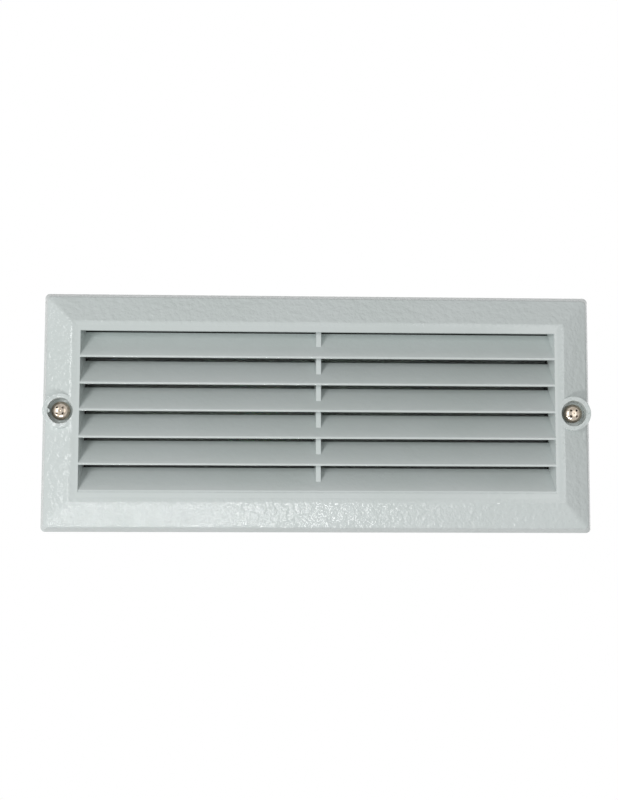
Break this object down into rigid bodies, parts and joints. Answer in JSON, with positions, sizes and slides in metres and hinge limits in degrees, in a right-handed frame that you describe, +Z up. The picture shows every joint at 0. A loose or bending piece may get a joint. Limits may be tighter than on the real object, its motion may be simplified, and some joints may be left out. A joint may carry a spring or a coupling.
{
  "type": "recessed step light",
  "caption": "Recessed step light: white cast cover with downward louvres and bevelled rim, frosted glass, screw-cap lamp and terminals in a flanged wall box.",
  "frame": {"origin": "middle of the light on the face of the wall, which is y = 0; the cover's centre lies straight in front of it", "axes": "+X along the light to the viewer's right, +Y into the wall, +Z up; metres"},
  "size_m": [0.24, 0.0796, 0.104],
  "materials": {
    "cover_paint": "white polyester powder coat with orange peel on a die casting",
    "frosted_glass": "tempered glass, one face acid etched",
    "seal_rubber": "matt moulded rubber",
    "stainless_sheet": "rolled stainless sheet with sheared edges",
    "zinc_screws": "bright zinc plated steel",
    "nickel_screws": "nickel plated steel",
    "nylon": "natural moulded nylon",
    "cast_housing": "bare die-cast aluminium",
    "grommet_rubber": "matt moulded rubber",
    "black_nylon": "moulded nylon with a fine spark-eroded face",
    "reflector_sheet": "white gloss enamel on folded sheet",
    "zinc_sheet": "zinc plated folded steel sheet",
    "porcelain": "white glazed porcelain",
    "nickel_shell": "nickel plated rolled brass shell",
    "contact_brass": "turned brass",
    "lamp_solder": "tinned contact",
    "black_glass": "black glass insulator",
    "lamp_cap_nickel": "nickel plated rolled cap",
    "lamp_collar_plastic": "white moulded plastic",
    "opal_dome": "opal diffuser",
    "lamp_board": "white solder resist on an aluminium board",
    "polyamide": "natural moulded polyamide",
    "terminal_brass": "turned brass",
    "tinned_tag": "tinned copper tag",
    "brown_lead": "brown silicone insulation",
    "blue_lead": "blue silicone insulation",
    "green_lead": "green and yellow insulation"
  },
  "bodies": {
    "housing": {"housing": "cast_housing", "cover_gasket": "seal_rubber", "cable_grommet": "grommet_rubber", "blanking_plug": "black_nylon", "reflector": "reflector_sheet", "reflector_screws": "zinc_screws", "lampholder_body": "porcelain", "lampholder_shell": "nickel_shell", "holder_bracket": "zinc_sheet", "bracket_screws": "zinc_screws", "holder_screws": "zinc_screws", "terminal_block": "polyamide", "terminal_barrels": "terminal_brass", "terminal_screws": "zinc_screws", "block_screws": "zinc_screws", "earth_tag": "tinned_tag", "earth_screw": "zinc_screws", "live_lead": "brown_lead", "neutral_lead": "blue_lead", "earth_lead": "green_lead"},
    "cover": {"front_cover": "cover_paint", "glass_panel": "frosted_glass", "glass_seal": "seal_rubber", "glass_clips": "stainless_sheet", "clip_screws": "zinc_screws"},
    "left_washer": {"left_screw_washer": "nylon"},
    "left_screw": {"left_cover_screw": "nickel_screws"},
    "right_washer": {"right_screw_washer": "nylon"},
    "right_screw": {"right_cover_screw": "nickel_screws"},
    "lamp_foot": {"lamp_tip": "lamp_solder"},
    "lamp": {"lamp_dome": "opal_dome", "lamp_collar": "lamp_collar_plastic", "lamp_cap": "lamp_cap_nickel", "lamp_insulator": "black_glass", "lamp_board": "lamp_board"},
    "contact": {"centre_contact": "contact_brass"}
  },
  "joints": [
    {"name": "cover_lift", "type": "slide", "parent": "housing", "child": "cover", "axis": [0, -1, 0], "range_m": [0, 0.12]},
    {"name": "left_screw_travel", "type": "slide", "parent": "cover", "child": "left_washer", "axis": [0, -1, 0], "range_m": [0, 0.0161]},
    {"name": "left_screw_turn", "type": "hinge", "parent": "left_washer", "child": "left_screw", "pos_m": [-0.111, 0, 0], "axis": [0, -1, 0], "range_deg": [0, 8280]},
    {"name": "right_screw_travel", "type": "slide", "parent": "cover", "child": "right_washer", "axis": [0, -1, 0], "range_m": [0, 0.0161]},
    {"name": "right_screw_turn", "type": "hinge", "parent": "right_washer", "child": "right_screw", "pos_m": [0.111, 0, 0], "axis": [0, -1, 0], "range_deg": [0, 8280]},
    {"name": "lamp_travel", "type": "slide", "parent": "housing", "child": "lamp_foot", "axis": [1, 0, 0], "range_m": [0, 0.01906]},
    {"name": "lamp_turn", "type": "hinge", "parent": "lamp_foot", "child": "lamp", "pos_m": [0, 0.035, 0], "axis": [1, 0, 0], "range_deg": [0, 1890]},
    {"name": "contact_press", "type": "slide", "parent": "housing", "child": "contact", "axis": [-1, 0, 0], "range_m": [0, 0.0012], "stiffness_N_per_m": 800, "springref_m": -0.001}
  ],
  "couplings": [
    {"joint": "left_screw_turn", "follows": "left_screw_travel", "rad_per_m": 8976},
    {"joint": "right_screw_turn", "follows": "right_screw_travel", "rad_per_m": 8976},
    {"joint": "lamp_travel", "follows": "lamp_turn", "m_per_rad": 0.00057757}
  ]
}
